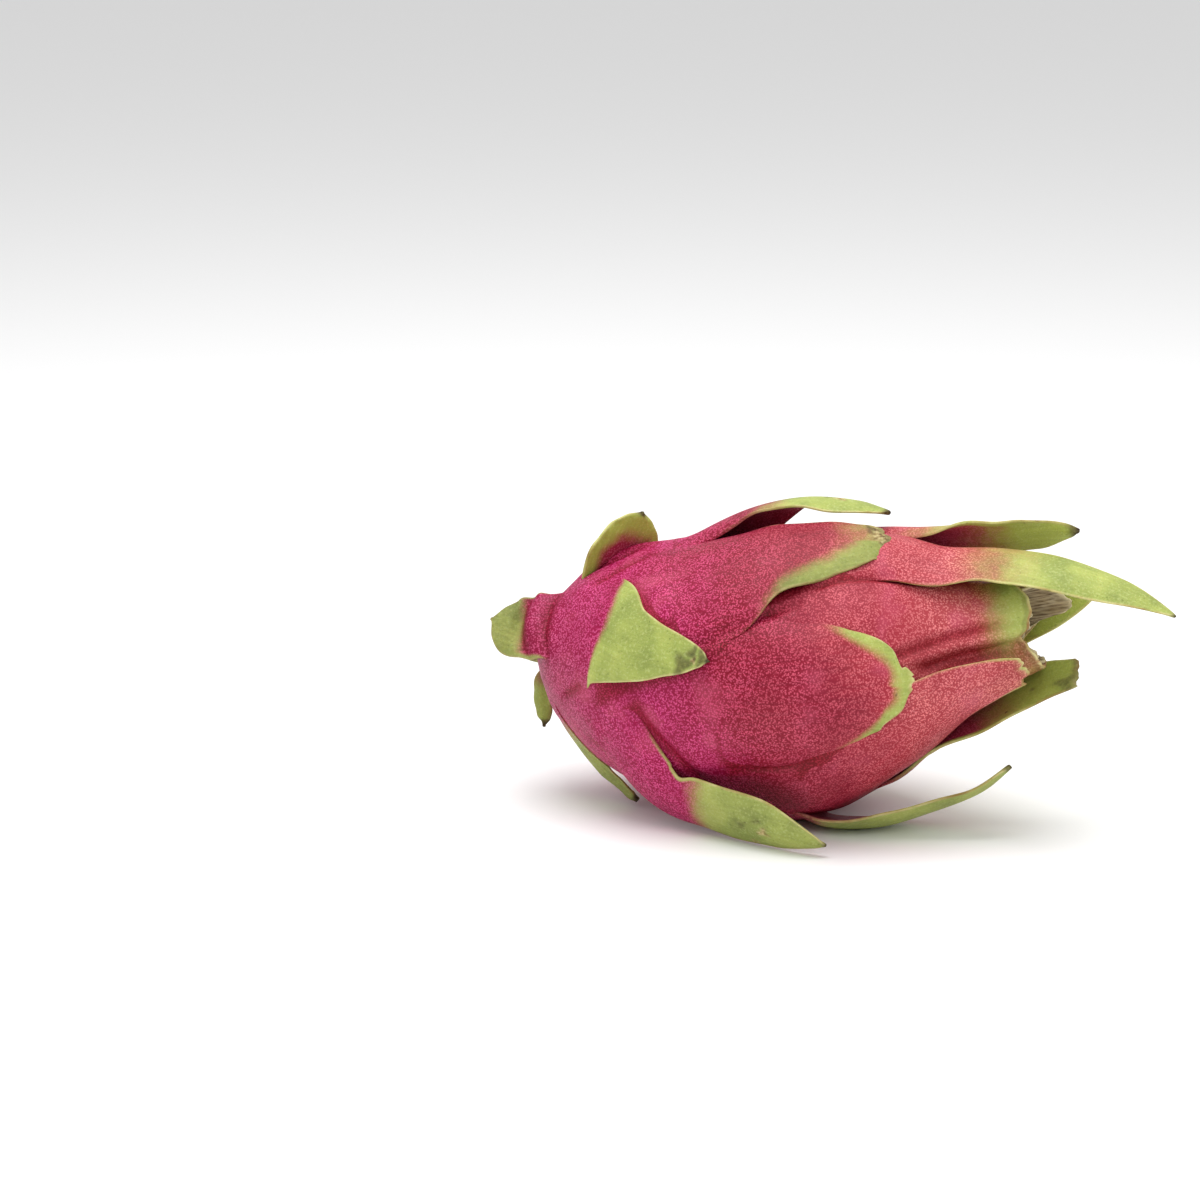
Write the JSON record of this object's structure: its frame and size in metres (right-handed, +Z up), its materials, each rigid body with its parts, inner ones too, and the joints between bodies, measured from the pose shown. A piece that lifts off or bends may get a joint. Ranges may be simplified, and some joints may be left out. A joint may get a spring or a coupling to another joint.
{
  "type": "dragon fruit",
  "caption": "Ripe pink dragon fruit lying on its side: an oval fruit that narrows into an open flower tube, with leafy green-tipped scales and a cut stem stub.",
  "frame": {"origin": "centre of the small flat spot on the belly that the fruit rests on", "axes": "+X along the fruit from the stem end to the flower tube, +Z up away from the table, -Y towards the fruit's front"},
  "size_m": [0.1912, 0.0946, 0.0884],
  "materials": {
    "fresh_skin": "satin",
    "green_blade": "satin",
    "dry_paper": "matte",
    "cut_wood": "matte"
  },
  "bodies": {
    "root": {"fruit_body": "fresh_skin", "dried_flower_tube": "dry_paper", "stem_stub": "cut_wood", "stem_scale_front": "green_blade", "stem_scale_low": "green_blade", "stem_scale_back": "green_blade", "shoulder_scale_top": "green_blade", "shoulder_scale_front": "green_blade", "shoulder_scale_low": "green_blade", "shoulder_scale_back_high": "green_blade", "shoulder_scale_back": "green_blade", "shoulder_scale_back_low": "green_blade", "belly_scale_low": "green_blade", "belly_scale_top": "green_blade", "belly_scale_crest": "green_blade", "belly_scale_front": "green_blade", "belly_scale_back_high": "green_blade", "belly_scale_back_low": "green_blade", "belly_scale_under": "green_blade", "crown_scale_front_low": "green_blade", "crown_scale_top": "green_blade", "crown_scale_crest": "green_blade", "crown_scale_back": "green_blade", "crown_scale_back_low": "green_blade", "crown_scale_under": "green_blade"}
  },
  "joints": []
}
